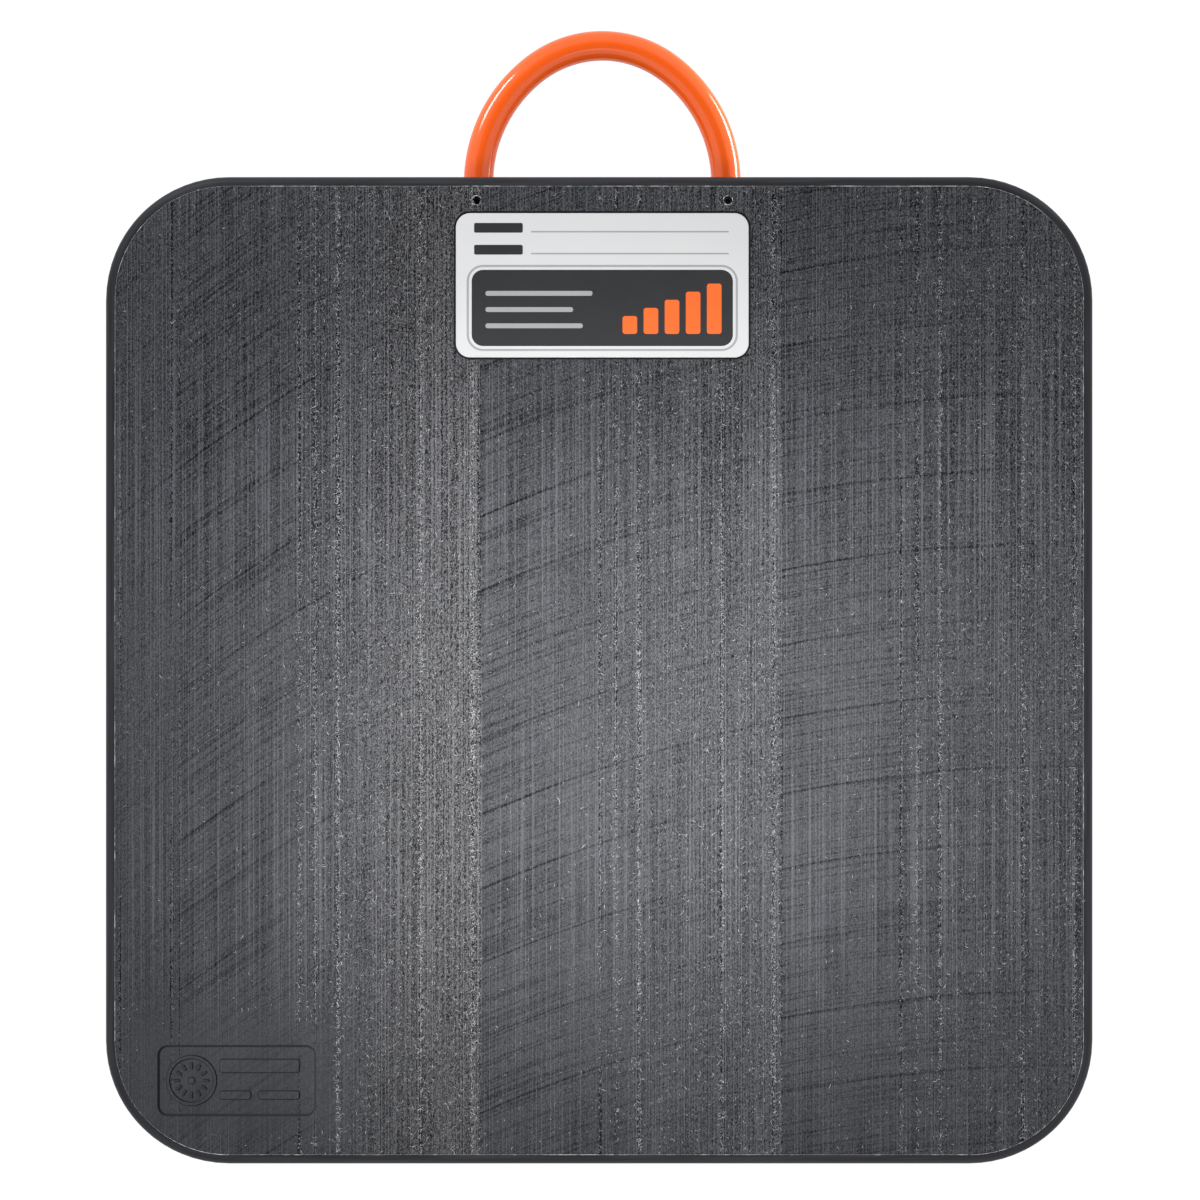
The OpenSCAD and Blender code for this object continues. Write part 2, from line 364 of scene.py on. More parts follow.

    # Routed edges: smooth and darker, with faint bands along the cutter's way. The panel's sloping sides take
    # this colour as painted shade, with painted light on those that face left
    rippleScale = tuple(1 / size for size in planing["rippleSize"])
    ripplePlace = addNode(tree, "Mapping", {"Vector": place, "Scale": rippleScale})
    ripple = addNode(tree, "TexNoise", {"Vector": ripplePlace, "Scale": 1.0, "Detail": 0.0})
    rimTone = addNode(tree, "MapRange", {"Value": ripple, "From Min": 0.3, "From Max": 0.7, "To Min": 0.6})
    # painted light and shade on the panel's sides by the way they face: pale to the left, dark to the right
    paintedSideShading = addNode(tree, "MapRange", {"Value": facing["X"], "From Min": -0.4, "From Max": 0.4,
                                          "To Min": 1.15, "To Max": 0.0})
    rimTone = addNode(tree, "Mix", {"Factor": sunk, "A": rimTone, "B": paintedSideShading})
    routedEdgeAndSideShade = addNode(tree, "Mix", {"Factor": rimTone, 6: hexColour(planing["edgeDark"]),
                                   7: hexColour(planing["edgePale"])},
                     2, data_type="RGBA", clamp_factor=False)
    colour = addNode(tree, "Mix", {"Factor": planed, 6: routedEdgeAndSideShade, 7: faceColour}, 2, data_type="RGBA")
    tree.links.new(colour, shader.inputs["Base Color"])

    # Grooves shine less than the ridges between them
    gloss = addNode(tree, "MapRange", {"Value": tone, "To Min": 0.05, "To Max": 1.0})
    shine = addNode(tree, "Mix", {"Factor": planed, "A": 0.1, "B": gloss})
    tree.links.new(shine, shader.inputs["Specular IOR Level"])

    # The planed face scatters the light more than the routed edges, which keep a satin shine
    faceRough = addNode(tree, "MapRange", {"Value": mark["lines"], "From Min": -0.5, "From Max": 0.5,
                                           "To Min": planing["faceRough"][0],
                                           "To Max": planing["faceRough"][1]})
    edgeRough = addNode(tree, "MapRange", {"Value": ripple, "To Min": planing["edgeRough"][0],
                                           "To Max": planing["edgeRough"][1]})
    rough = addNode(tree, "Mix", {"Factor": planed, "A": edgeRough, "B": faceRough})
    tree.links.new(rough, shader.inputs["Roughness"])

    # Heights in millimetres: feed lines on the face, bands on the edges
    faceHeight = addNode(tree, "Math", {0: mark["lines"], 1: planing["lineHeight"]}, operation="MULTIPLY")
    edgeHeight = addNode(tree, "Math", {0: ripple, 1: planing["rippleHeight"]}, operation="MULTIPLY")
    height = addNode(tree, "Mix", {"Factor": outer, "A": edgeHeight, "B": faceHeight})
    bump = addNode(tree, "Bump", {"Height": height, "Strength": 0.8, "Distance": mm})
    tree.links.new(bump, shader.inputs["Normal"])
    shader.inputs["IOR"].default_value = planing["ior"]
    return material


# Torn polyethylene: threads and burrs that the cutters pulled up, stretched until they turned white and dull.
tornWhite = {
    "dark": "#9C9DA0",
    "pale": "#F4F4F4",
    "patch": 3.0,  # size of a paler patch
    "rough": (0.45, 0.7),
}


def tornPolyethylene():
    material, tree, shader, place = newMaterial("torn_polyethylene")
    patch = addNode(tree, "TexNoise", {"Vector": place, "Scale": 1 / tornWhite["patch"], "Detail": 2.0})
    colour = addNode(tree, "Mix", {"Factor": patch, 6: hexColour(tornWhite["dark"]),
                                   7: hexColour(tornWhite["pale"])}, 2, data_type="RGBA")
    tree.links.new(colour, shader.inputs["Base Color"])
    rough = addNode(tree, "MapRange", {"Value": patch, "To Min": tornWhite["rough"][0],
                                       "To Max": tornWhite["rough"][1]})
    tree.links.new(rough, shader.inputs["Roughness"])
    shader.inputs["IOR"].default_value = planing["ior"]
    return material


# Dip-coated vinyl over a bent rod: smooth, thick and glossy, with faint flow lines along the loop.
vinyl = {
    "dark": "#F65A10",
    "pale": "#FD6517",
    "flow": (60.0, 2.5, 2.5),  # size of a flow line along the loop and across it
    "skin": (14.0, 5.0, 5.0),  # size of a ripple in the skin
    "skinHeight": 0.05,
    "rough": (0.10, 0.20),
    "ior": 1.53,
}


def vinylCoating():
    material, tree, shader, place = newMaterial("handle_vinyl_coating")
    along = addNode(tree, "Attribute", {}, "Vector", attribute_name="tubePlace")
    pattern = {}
    for name, detail in (("flow", 3.0), ("skin", 2.0)):
        spot = addNode(tree, "Mapping", {"Vector": along, "Scale": tuple(1 / size for size in vinyl[name])})
        pattern[name] = addNode(tree, "TexNoise", {"Vector": spot, "Scale": 1.0, "Detail": detail})
    colour = addNode(tree, "Mix", {"Factor": pattern["flow"], 6: hexColour(vinyl["dark"]),
                                   7: hexColour(vinyl["pale"])}, 2, data_type="RGBA")
    tree.links.new(colour, shader.inputs["Base Color"])
    rough = addNode(tree, "MapRange", {"Value": pattern["skin"], "To Min": vinyl["rough"][0],
                                       "To Max": vinyl["rough"][1]})
    tree.links.new(rough, shader.inputs["Roughness"])
    bump = addNode(tree, "Bump", {"Height": pattern["skin"], "Strength": 0.6,
                                  "Distance": vinyl["skinHeight"] * mm})
    tree.links.new(bump, shader.inputs["Normal"])
    shader.inputs["IOR"].default_value = vinyl["ior"]
    return material


# Black-oxide steel: dark and satin, rubbed paler in spots on the rim where the key has slipped.
steel = {
    "dark": "#2A2A2C",
    "rubbed": "#5C5C60",
    "rim": (1.3, 2.1),  # distances from a screw's axis between which the rubbed spots set in
    "spot": 0.7,
    "spotHeight": 0.05,
    "rough": (0.40, 0.62),
}


def blackenedSteel():
    material, tree, shader, place = newMaterial("blackened_steel")
    axes = addNode(tree, "SeparateXYZ", {"Vector": place}).node.outputs
    middleX, rowY = (screwLow[:2] + screwHigh[:2]) / 2
    reach = (screwHigh[0] - screwLow[0] - (screwHigh[1] - screwLow[1])) / 2
    off = addNode(tree, "Math", {0: axes["X"], 1: middleX}, operation="SUBTRACT")
    offSize = addNode(tree, "Math", {0: off}, operation="ABSOLUTE")
    fromAxisX = addNode(tree, "Math", {0: offSize, 1: reach}, operation="SUBTRACT")
    fromAxisY = addNode(tree, "Math", {0: axes["Y"], 1: rowY}, operation="SUBTRACT")
    fromAxis = addNode(tree, "CombineXYZ", {"X": fromAxisX, "Y": fromAxisY})
    radius = addNode(tree, "VectorMath", {0: fromAxis}, "Value", operation="LENGTH")
    rim = addNode(tree, "MapRange", {"Value": radius, "From Min": steel["rim"][0],
                                     "From Max": steel["rim"][1]})
    rub = addNode(tree, "TexNoise", {"Vector": place, "Scale": 1 / steel["spot"], "Detail": 3.0})
    rubSpots = addNode(tree, "MapRange", {"Value": rub, "From Min": 0.42, "From Max": 0.58})
    wear = addNode(tree, "Math", {0: rim, 1: rubSpots}, operation="MULTIPLY")
    colour = addNode(tree, "Mix", {"Factor": wear, 6: hexColour(steel["dark"]),
                                   7: hexColour(steel["rubbed"])}, 2, data_type="RGBA")
    tree.links.new(colour, shader.inputs["Base Color"])
    rough = addNode(tree, "MapRange", {"Value": rub, "To Min": steel["rough"][0],
                                       "To Max": steel["rough"][1]})
    tree.links.new(rough, shader.inputs["Roughness"])
    bump = addNode(tree, "Bump", {"Height": rub, "Strength": 0.4, "Distance": steel["spotHeight"] * mm})
    tree.links.new(bump, shader.inputs["Normal"])
    shader.inputs["Metallic"].default_value = 1.0
    return material


# Printed sheet plastic: satin, with a fine orange-peel skin; one colour each for the plate and its inks.
sheet = {
    "cloud": 25.0,  # size of a slightly paler cloud
    "peel": 1.2,  # size of a dimple in the skin
    "peelHeight": 0.04,
    "rough": (0.34, 0.50),
    "ior": 1.49,
}


def sheetPlastic(name, dark, pale):
    material, tree, shader, place = newMaterial(name)
    cloud = addNode(tree, "TexNoise", {"Vector": place, "Scale": 1 / sheet["cloud"], "Detail": 3.0})
    colour = addNode(tree, "Mix", {"Factor": cloud, 6: hexColour(dark), 7: hexColour(pale)},
                     2, data_type="RGBA")
    tree.links.new(colour, shader.inputs["Base Color"])
    peel = addNode(tree, "TexNoise", {"Vector": place, "Scale": 1 / sheet["peel"], "Detail": 2.0})
    rough = addNode(tree, "MapRange", {"Value": peel, "To Min": sheet["rough"][0],
                                       "To Max": sheet["rough"][1]})
    tree.links.new(rough, shader.inputs["Roughness"])
    bump = addNode(tree, "Bump", {"Height": peel, "Strength": 0.35, "Distance": sheet["peelHeight"] * mm})
    tree.links.new(bump, shader.inputs["Normal"])
    shader.inputs["IOR"].default_value = sheet["ior"]
    return material


padFinish = planedPolyethylene()
tornFinish = tornPolyethylene()
handleFinish = vinylCoating()
screwFinish = blackenedSteel()
plateFinish = sheetPlastic("label_sheet_plastic", "#D2D3D4", "#D7D7D8")
charcoalInk = sheetPlastic("label_ink_charcoal", "#1E1F22", "#26272A")
orangeInk = sheetPlastic("label_ink_orange", "#F0641C", "#F76D24")
greyInk = sheetPlastic("label_ink_grey", "#9A9B9D", "#A6A7A9")
for node, finish in (("pad", padFinish), ("handle_set_screws", screwFinish), ("label_plate", plateFinish)):
    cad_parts[node].data.materials[0] = finish
print("materials: pad, handle, screws, label and inks")

# The loop handle: a round tube on the path of the bent rod, two legs, two shoulder arcs and a tighter crown
handleShape = {
    "radius": (handleHigh[2] - handleLow[2]) / 2,
    "crownRadius": 69.0,
    "shoulderRadius": 90.25,
    "meet": math.atan2(4, 3),  # angle at which a shoulder meets the crown
    "rise": handleHigh[1] - padHigh[1],  # outside of the crown past the pad's rear edge
    "legEnd": handleLow[1],
    "sides": 56,
    "legStations": 12,
    "shoulderStations": 60,
    "crownStations": 70,
    "waver": 0.06,  # how much the coating's thickness varies
    "waves": (23.0, 9.0),  # how slowly it varies along the loop, in mm a radian
}


def loopHandle():
    # the path's stations: a straight line up the left leg, three arcs (centre plus radius times cosine and
    # sine of an angle that falls from half a turn to nothing) and a straight line down the right leg; the
    # ring at each station is the radius times the cosine along the path's outer side plus the sine upwards
    size = handleShape
    centreX = padSizes["fittings"]
    legX = (handleHigh[0] - handleLow[0]) / 2 - size["radius"]
    rear = padHigh[1]
    crownY = rear + size["rise"] - size["radius"] - size["crownRadius"]
    shoulderX = size["shoulderRadius"] - legX
    rising = np.linspace(np.pi, np.pi - size["meet"], size["shoulderStations"])
    over = np.linspace(np.pi - size["meet"], size["meet"], size["crownStations"])[1:-1]
    falling = np.linspace(size["meet"], 0, size["shoulderStations"])
    arcs = ((shoulderX, rear, size["shoulderRadius"], rising), (0.0, crownY, size["crownRadius"], over),
            (-shoulderX, rear, size["shoulderRadius"], falling))
    leg = np.linspace(size["legEnd"], rear, size["legStations"])[:-1]
    stations = [np.stack([np.full(leg.shape, -legX), leg, np.full(leg.shape, np.pi)], axis=-1)]
    for arcX, arcY, radius, angle in arcs:
        arcPoints = (arcX + radius * np.cos(angle), arcY + radius * np.sin(angle), angle)
        stations.append(np.stack(arcPoints, axis=-1))
    stations.append(np.stack([np.full(leg.shape, legX), leg[::-1], np.zeros(leg.shape)], axis=-1))
    x, y, angle = np.concatenate(stations).T
    run = np.concatenate([[0], np.cumsum(np.hypot(np.diff(x), np.diff(y)))])
    around = np.arange(size["sides"]) * 2 * np.pi / size["sides"]
    slow, quick = size["waves"]
    waver = np.sin(run / slow)[:, None] * np.cos(around + 1)
    waver = waver + np.sin(run / quick + 2)[:, None] * np.cos(2 * around)
    radius = size["radius"] + size["waver"] * (waver - 2) / 2
    outer = radius * np.cos(around)
    points = np.stack([centreX + x[:, None] + outer * np.cos(angle)[:, None],
                       y[:, None] + outer * np.sin(angle)[:, None],
                       (handleLow[2] + handleHigh[2]) / 2 + radius * np.sin(around)], axis=-1)
    tubePlace = np.stack(np.broadcast_arrays(run[:, None], outer, radius * np.sin(around)), axis=-1)
    count = size["sides"]
    last = np.arange(count) + count * (len(run) - 1)
    faces = gridFaces(len(run), count) + [np.arange(count)[::-1].tolist(), last.tolist()]
    piece = addPiece("handle_loop", points, faces, handleFinish, "handle_plastic")
    placeLayer = piece.data.attributes.new("tubePlace", "FLOAT_VECTOR", "POINT")
    placeLayer.data.foreach_set("vector", tubePlace.ravel())
    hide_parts("handle")


loopHandle()

# The ragged burr that the edge cutter left where each face meets the round-over
burr = {
    "spacing": 0.9,  # between stations along the edge
    "thin": 0.04,
    "thick": 0.21,
    "section": ((1.0, -0.1), (0.2, 0.75), (-0.8, -0.05), (0.0, -0.5)),  # reach and height, for a size of 1
    "roughShare": 0.6,  # of the short unevenness
    "patchShare": 2.0,  # of the long one
    "seed": 11,
}


def edgeBurr(name, faceHeight, upward, seed):
    # the face's outline walked at equal steps; the section is a small diamond whose size follows two smoothed
    # random runs, so that the burr comes and goes; below, it hangs head down with its corners in reverse
    inset = 2 * padSizes["edge"]
    size = padHigh - padLow
    outline = roundedOutline(size[0] - inset, size[1] - inset, padSizes["corner"] - padSizes["edge"], 60)
    closed = np.vstack([outline, outline[:1]])
    length = np.concatenate([[0], np.cumsum(np.linalg.norm(np.diff(closed, axis=0), axis=1))])
    steps = np.linspace(0, length[-1], int(length[-1] / burr["spacing"]), endpoint=False)
    path = np.stack([np.interp(steps, length, closed[:, axis]) for axis in (0, 1)], axis=-1)
    count = len(steps)
    rng = np.random.default_rng(seed)
    rough = unevenRun(rng, count + 8, 3, count)
    patch = unevenRun(rng, count + 80, 41, count)
    amount = np.clip(burr["roughShare"] * rough + burr["patchShare"] * patch, 0, 1)
    reach = burr["thin"] + (burr["thick"] - burr["thin"]) * amount
    section = reach[:, None, None] * np.array(burr["section"])[::upward] * (1, upward)
    section[..., 1] += faceHeight
    addPiece(name, *ribbonLoop(path, section), tornFinish, "pad_polyethylene")


edgeBurr("edge_burr_upper", padSizes["face"], 1, burr["seed"])
edgeBurr("edge_burr_lower", padLow[2] + burr["thick"], -1, burr["seed"] + 1)

# Threads of torn plastic that stand on the load face, thickest along the torn lines
threads = {
    "onLines": 8000,
    "inZones": 9000,
    "anywhere": 2500,
    "passShare": (0.46, 0.29, 0.25),  # of the threads, in each whole pass
    "lineSpread": 0.7,  # off a torn line
    "length": (0.5, 2.8),
    "radius": (0.05, 0.16),
    "lift": 0.45,  # of its length, at most
    "headingSpread": 0.7,  # radians off the feed
    "curlSpread": 1.3,
    "curlLimit": 1.9,  # beyond it a thread would fold into itself
    "sunk": 0.05,  # of a root, below the face
    "clear": 3.5,  # kept free round the label's pocket
    "seed": 5,
}


def tornThreads(name, rootX, rng):
    # a thread leaves its root along a heading that turns as it goes, climbs and falls on most of half a sine,
    # and carries a three-sided section that thins towards the tip
    width, length = (padHigh - padLow)[:2] / 2 - padSizes["edge"] - 1
    rootY = rng.uniform(-length, length, len(rootX))

    # roots stay on the face: off the round corners, the label's pocket and the sunk panel
    corner = padSizes["corner"] - padSizes["edge"] - 1
    cornerX = np.maximum(np.abs(rootX) - (width - corner), 0)
    cornerY = np.maximum(np.abs(rootY) - (length - corner), 0)
    kept = (np.hypot(cornerX, cornerY) < corner) & (np.abs(rootX) < width)
    clear = threads["clear"]
    onLabel = (rootX > labelLow[0] - clear) & (rootX < labelHigh[0] + clear)
    onLabel &= (rootY > labelLow[1] - clear) & (rootY < labelHigh[1] + clear)
    onPanel = np.abs(rootX - padSizes["panel"][0]) < padSizes["panelSize"][0] / 2 + 3 * clear
    onPanel &= np.abs(rootY - padSizes["panel"][1]) < padSizes["panelSize"][1] / 2 + 3 * clear
    kept &= ~onLabel & ~onPanel
    rootX, rootY = rootX[kept], rootY[kept]
    count = len(rootX)

    along = np.linspace(0, 1, 3)
    shortest, longest = threads["length"]
    reach = shortest + (longest - shortest) * rng.random(count) ** 2.5
    heading = np.pi / 2 * rng.choice([-1, 1], count) + rng.normal(0, threads["headingSpread"], count)
    curl = np.clip(rng.normal(0, threads["curlSpread"], count), -threads["curlLimit"], threads["curlLimit"])
    course = heading[:, None] + curl[:, None] * along
    lift = threads["lift"] * reach * rng.uniform(0.2, 1, count)
    pathX = rootX[:, None] + reach[:, None] * along * np.cos(course)
    pathY = rootY[:, None] + reach[:, None] * along * np.sin(course)
    pathZ = padSizes["face"] - threads["sunk"] + lift[:, None] * np.sin(np.pi * 0.85 * along)
    radius = rng.uniform(*threads["radius"], count)[:, None] * (1 - 0.5 * along)
    around = np.arange(3) * 2 * np.pi / 3
    beside = radius[..., None] * np.cos(around)
    points = np.stack([pathX[..., None] - beside * np.sin(course)[..., None],
                       pathY[..., None] + beside * np.cos(course)[..., None],
                       pathZ[..., None] + radius[..., None] * np.sin(around)], axis=-1)
    oneThread = gridFaces(3, 3) + [[2, 1, 0], [6, 7, 8]]
    faces = [[corner + 9 * which for corner in face] for which in range(count) for face in oneThread]
    addPiece(name, points, faces, tornFinish, "pad_polyethylene", smooth=False)


def planingThreads():
    # threads along the torn lines, then in the torn end of each pass, thickest at its edge, then anywhere
    rng = np.random.default_rng(threads["seed"])
    passShare = threads["passShare"]
    starts = planing["passEdge"] + planing["passWidth"] * np.arange(len(passShare))
    wear = np.array(planing["nickWear"])
    nick = rng.choice(planing["nicks"], threads["onLines"], p=wear / wear.sum())
    passStart = rng.choice(starts, len(nick), p=passShare)
    lineX = passStart + nick + rng.normal(0, threads["lineSpread"], len(nick))
    tornThreads("torn_line_threads", lineX, rng)
    zone = 1 - 0.6 * rng.random(threads["inZones"]) ** 1.4
    zoneX = rng.choice(starts, len(zone), p=passShare) + planing["passWidth"] * zone
    tornThreads("torn_zone_threads", zoneX, rng)
    tornThreads("loose_threads", rng.uniform(padLow[0], padHigh[0], threads["anywhere"]), rng)


planingThreads()

# A raised burr round the mouth of each set screw's hole
holeBurr = {
    "hole": 2.65,  # radius
    "stations": 72,
    "section": ((0.5, -0.05), (0.225, 0.2), (0.02, 0.1), (0.1, -0.2)),  # reach and height, for a size of 1
    "seed": 3,
}


def screwHoleBurrs():
    # a circle with a small diamond section whose size varies round the hole
    rng = np.random.default_rng(holeBurr["seed"])
    count = holeBurr["stations"]
    around = np.arange(count) * 2 * np.pi / count
    circle = holeBurr["hole"] * np.stack([np.cos(around), np.sin(around)], axis=-1)
    screwRadius = (screwHigh[1] - screwLow[1]) / 2
    shapes = []
    for screwX in (screwLow[0] + screwRadius, screwHigh[0] - screwRadius):
        amount = np.clip(0.4 + 1.2 * unevenRun(rng, count + 4, 5, count), 0.1, 1.3)
        section = amount[:, None, None] * np.array(holeBurr["section"])
        section[..., 1] += padSizes["face"]
        screwPlace = np.array([screwX, (screwLow[1] + screwHigh[1]) / 2])
        shapes.append(ribbonLoop(screwPlace + circle, section))
    addPiece("screw_hole_burrs", *joinShapes(shapes), tornFinish, "pad_polyethylene")


screwHoleBurrs()

# The sunk marking panel: its sloping border, and plain raised marks on its floor, a dial ring with twelve
# ticks and rows of low bars
panelMarks = {
    "slope": 1.7,  # width of the sloping border
    "corner": 6.5,
    "intoWall": 0.05,
    "intoFloor": 0.1,
    "borderTop": 0.12,  # below the load face
    "markTop": 0.15,
    "ease": 0.8,
    "dial": (-28.0, 0.0),  # from the panel's centre
    "dialRadius": 14.5,
    "dialWidth": 3.0,
    "tick": (4.4, 2.0),
    "tickCorner": 0.8,
    "tickRadius": 9.0,
    "hub": 5.0,
    "hubCorner": 2.4,
    "bars": ((14.0, 9.0, 50.0, 9.0), (-1.0, -9.0, 20.0, 6.0), (26.0, -9.0, 26.0, 6.0)),  # place and size
    "barCorner": 2.0,
}


def markingPanel():
    size = panelMarks
    face = padSizes["face"]
    under = face - padSizes["panelDepth"] - size["intoFloor"]
    centre = np.array(padSizes["panel"])

    # the border's section is a wedge: full height at the wall, nothing at its inner foot
    outline = roundedOutline(*padSizes["panelSize"], size["corner"], 16)
    wall = size["intoWall"]
    wedge = np.array([[wall, under], [wall, face - size["borderTop"]], [-size["slope"], under]])
    border = ribbonLoop(outline + centre, np.broadcast_to(wedge, (len(outline), 3, 2)))
    addPiece("marking_panel_border", *border, padFinish, "pad_polyethylene", smooth=False)

    # the dial ring's section and the other marks slope in towards the top by the ease
    dial = centre + size["dial"]
    ring = roundedOutline(2 * size["dialRadius"], 2 * size["dialRadius"], size["dialRadius"], 24)
    half = size["dialWidth"] / 2
    ease = size["ease"]
    top = face - size["markTop"]
    profile = np.array([[half, under], [half - ease, top], [ease - half, top], [-half, under]])
    shapes = [ribbonLoop(dial + ring, np.broadcast_to(profile, (len(ring), 4, 2)))]
    for hour in range(12):
        angle = hour * math.pi / 6
        tick = dial + size["tickRadius"] * np.array([math.cos(angle), math.sin(angle)])
        shapes.append(easedSlab(tick, size["tick"], size["tickCorner"], under, top, ease, angle))
    shapes.append(easedSlab(dial, (size["hub"], size["hub"]), size["hubCorner"], under, top, ease))
    for barX, barY, *barSize in size["bars"]:
        shapes.append(easedSlab(centre + (barX, barY), barSize, size["barCorner"], under, top, ease))
    addPiece("marking_panel_marks", *joinShapes(shapes), padFinish, "pad_polyethylene", smooth=False)


markingPanel()

# Print on the label plate: a charcoal field with a grey outline, a row of rising bars and plain lines, and
# two write-in rules above; places are from the plate's centre, or from the field's for what lies in it
labelPrint = {
    "ink": 0.04,  # thickness of one layer of ink
    "field": (0.0, -14.0),
    "fieldSize": (161.0, 47.0),
    "fieldCorner": 7.0,
    "outlineGap": 2.4,
    "outline": 1.3,
    "rules": (19.5, 33.0),  # heights
    "ruleX": 17.0,
    "ruleSize": (122.0, 0.9),
    "ruleCorner": 0.4,
    "captionX": -64.0,
    "captionRise": 2.4,  # above its rule
    "captionSize": (30.0, 6.0),
    "captionCorner": 1.0,
    "lines": ((9.0, 66.0), (-1.0, 54.0), (-11.0, 60.0)),  # height and length
    "lineStart": -72.0,
    "lineWidth": 3.0,
    "lineCorner": 1.4,
    "bars": (11.0, 16.0, 21.0, 26.0, 31.0),  # heights
    "barStart": 17.0,
    "barPitch": 13.0,
    "barFoot": -16.0,
    "barWidth": 9.0,
    "barCorner": 1.6,
}
labelCentre = (labelLow[:2] + labelHigh[:2]) / 2


def printedShape(place, size, corner, layer):
    # a flat shape of ink: layer 0 lies on the plate, layer 1 on other ink
    low = labelHigh[2] + (layer - 1) * labelPrint["ink"]
    return easedSlab(labelCentre + place, size, corner, low, low + 2 * labelPrint["ink"], 0)


def labelInks():
    size = labelPrint
    field = np.array(size["field"])
    charcoal = [printedShape(field, size["fieldSize"], size["fieldCorner"], 0)]
    grey = []
    for ruleY in size["rules"]:
        captionPlace = (size["captionX"], ruleY + size["captionRise"])
        charcoal.append(printedShape(captionPlace, size["captionSize"], size["captionCorner"], 0))
        grey.append(printedShape((size["ruleX"], ruleY), size["ruleSize"], size["ruleCorner"], 0))

    # the outline is a thin flat band that runs round the field
    gap = size["outlineGap"]
    fieldWidth, fieldHeight = size["fieldSize"]
    outline = roundedOutline(fieldWidth + 2 * gap, fieldHeight + 2 * gap, size["fieldCorner"] + gap, 12)
    half = size["outline"] / 2
    low, high = labelHigh[2] - size["ink"], labelHigh[2] + size["ink"]
    profile = np.array([[half, low], [half, high], [-half, high], [-half, low]])
    grey.append(ribbonLoop(labelCentre + field + outline, np.broadcast_to(profile, (len(outline), 4, 2))))

    for lineY, length in size["lines"]:
        linePlace = field + (size["lineStart"] + length / 2, lineY)
        grey.append(printedShape(linePlace, (length, size["lineWidth"]), size["lineCorner"], 1))
    orange = []
    for number, height in enumerate(size["bars"]):
        barPlace = field + (size["barStart"] + size["barPitch"] * number, size["barFoot"] + height / 2)
        orange.append(printedShape(barPlace, (size["barWidth"], height), size["barCorner"], 1))

    for name, shapes, finish in (("charcoal", charcoal, charcoalInk), ("grey", grey, greyInk),
                                 ("orange", orange, orangeInk)):
        addPiece("label_print_" + name, *joinShapes(shapes), finish, "label_plastic", smooth=False)


labelInks()

# Studio: a pale floor that reads as white to the camera and keeps the shadow, one soft box over the face, and
# a panel of light on either side of the handle
studio = {
    "distance": 2200.0,  # from the camera to the load face
    "view": (0.5, 43.4),  # the point under the camera
    "viewWidth": 739.5,  # what the picture's width takes in at the load face
    "walls": (1.05, 0.12),  # glow of the studio's walls and of its ceiling
    "ceiling": (0.80, 0.96),  # sines of the slopes between which the walls pass into the ceiling
    "floorReach": 6000.0,
    "floorDrop": 0.2,  # below the pad
    "floorLit": "#DADADA",  # as the light meets it
    "floorSeen": "#6F6F6F",  # as the camera sees it, under its own glow
    "floorGlow": 0.93,
    "floorRough": 0.9,
}
rodHeight = (handleLow[2] + handleHigh[2]) / 2
softBoxes = {
    "key_box": {"place": (10, -52, padSizes["face"] + 430), "aim": (10, -52, 0), "size": (470, 330),
                "glow": 1.8, "spread": 76},
    "right_panel": {"place": (269, 392, 35), "aim": (79, 330, rodHeight), "size": (220, 68),
                    "glow": 2.7, "spread": 60},
    "left_panel": {"place": (-388, 619, 216), "aim": (-57, 360, rodHeight), "size": (180, 110),
                   "glow": 6.0, "spread": 100},
}


def addSoftBox(name, place, aim, size, glow, spread):
    # an area lamp whose power is its glow times pi times its area; its light goes out within the spread, in
    # degrees
    lamp = bpy.data.lights.new(name, "AREA")
    lamp.shape = "RECTANGLE"
    lamp.size, lamp.size_y = size[0] * mm, size[1] * mm
    lamp.energy = glow * math.pi * lamp.size * lamp.size_y
    lamp.spread = math.radians(spread)
    box = bpy.data.objects.new(name, lamp)
    bpy.context.scene.collection.objects.link(box)
    box.location = Vector(place) * mm
    box.rotation_euler = (Vector(aim) - Vector(place)).to_track_quat("-Z", "Y").to_euler()
    box.visible_camera = False


def studioCamera(scene):
    # it looks straight down; the lens takes in the view's width at the load face
    camera = bpy.data.objects.new("camera", bpy.data.cameras.new("camera"))
    scene.collection.objects.link(camera)
    camera.location = Vector((*studio["view"], padSizes["face"] + studio["distance"])) * mm
    camera.data.lens = camera.data.sensor_width * studio["distance"] / studio["viewWidth"]
    scene.camera = camera


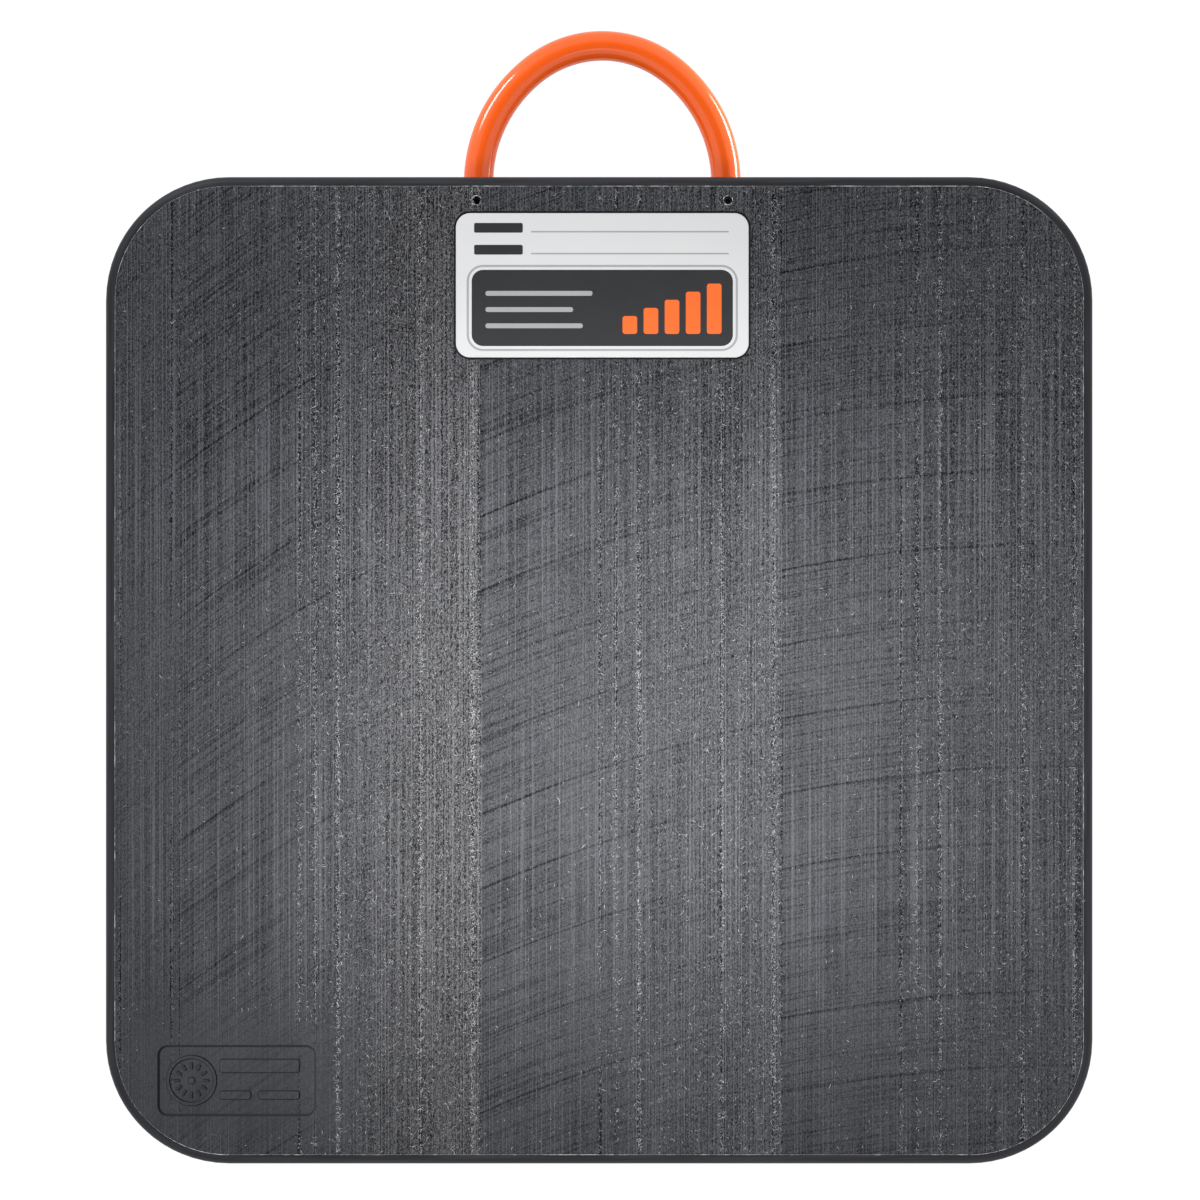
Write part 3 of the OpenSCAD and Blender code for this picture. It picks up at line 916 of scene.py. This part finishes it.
def studioWalls(scene):
    world = bpy.data.worlds.new("studio_walls")
    world.use_nodes = True
    tree = world.node_tree
    upward = addNode(tree, "TexCoord", {}, "Generated")
    heightUp = addNode(tree, "SeparateXYZ", {"Vector": upward}, "Z")
    wall = addNode(tree, "MapRange", {"Value": heightUp, "From Min": studio["ceiling"][0],
                                      "From Max": studio["ceiling"][1], "To Min": studio["walls"][0],
                                      "To Max": studio["walls"][1]})
    background = tree.nodes["Background"]
    tree.links.new(wall, background.inputs["Strength"])
    background.inputs["Color"].default_value = (1, 1, 1, 1)
    scene.world = world


def studioFloor(scene):
    # to the camera, and in gloss and glass, the floor glows near white; other light meets a pale grey
    material = bpy.data.materials.new("pale_floor")
    material.use_nodes = True
    tree = material.node_tree
    shader = tree.nodes["Principled BSDF"]
    shader.inputs["Roughness"].default_value = studio["floorRough"]
    shader.inputs["Specular IOR Level"].default_value = 0.0
    path = addNode(tree, "LightPath", {}).node.outputs
    shown = path["Is Camera Ray"]
    for ray in ("Is Glossy Ray", "Is Transmission Ray"):
        shown = addNode(tree, "Math", {0: shown, 1: path[ray]}, operation="MAXIMUM")
    colour = addNode(tree, "Mix", {"Factor": shown, 6: hexColour(studio["floorLit"]),
                                   7: hexColour(studio["floorSeen"])}, 2, data_type="RGBA")
    tree.links.new(colour, shader.inputs["Base Color"])
    shader.inputs["Emission Color"].default_value = (1, 1, 1, 1)
    glow = addNode(tree, "Math", {0: shown, 1: studio["floorGlow"]}, operation="MULTIPLY")
    tree.links.new(glow, shader.inputs["Emission Strength"])
    reach = studio["floorReach"] * mm
    mesh = bpy.data.meshes.new("floor")
    corners = [(-reach, -reach, 0), (reach, -reach, 0), (reach, reach, 0), (-reach, reach, 0)]
    mesh.from_pydata(corners, [], [(0, 1, 2, 3)])
    mesh.materials.append(material)
    floor = bpy.data.objects.new("floor", mesh)
    floor.location.z = -studio["floorDrop"] * mm
    scene.collection.objects.link(floor)


def buildStudio():
    scene = bpy.context.scene
    scene.view_settings.view_transform = "Standard"
    studioCamera(scene)
    for name, box in softBoxes.items():
        addSoftBox(name, **box)
    studioWalls(scene)
    studioFloor(scene)
    print("studio: camera, lamps and floor")


buildStudio()
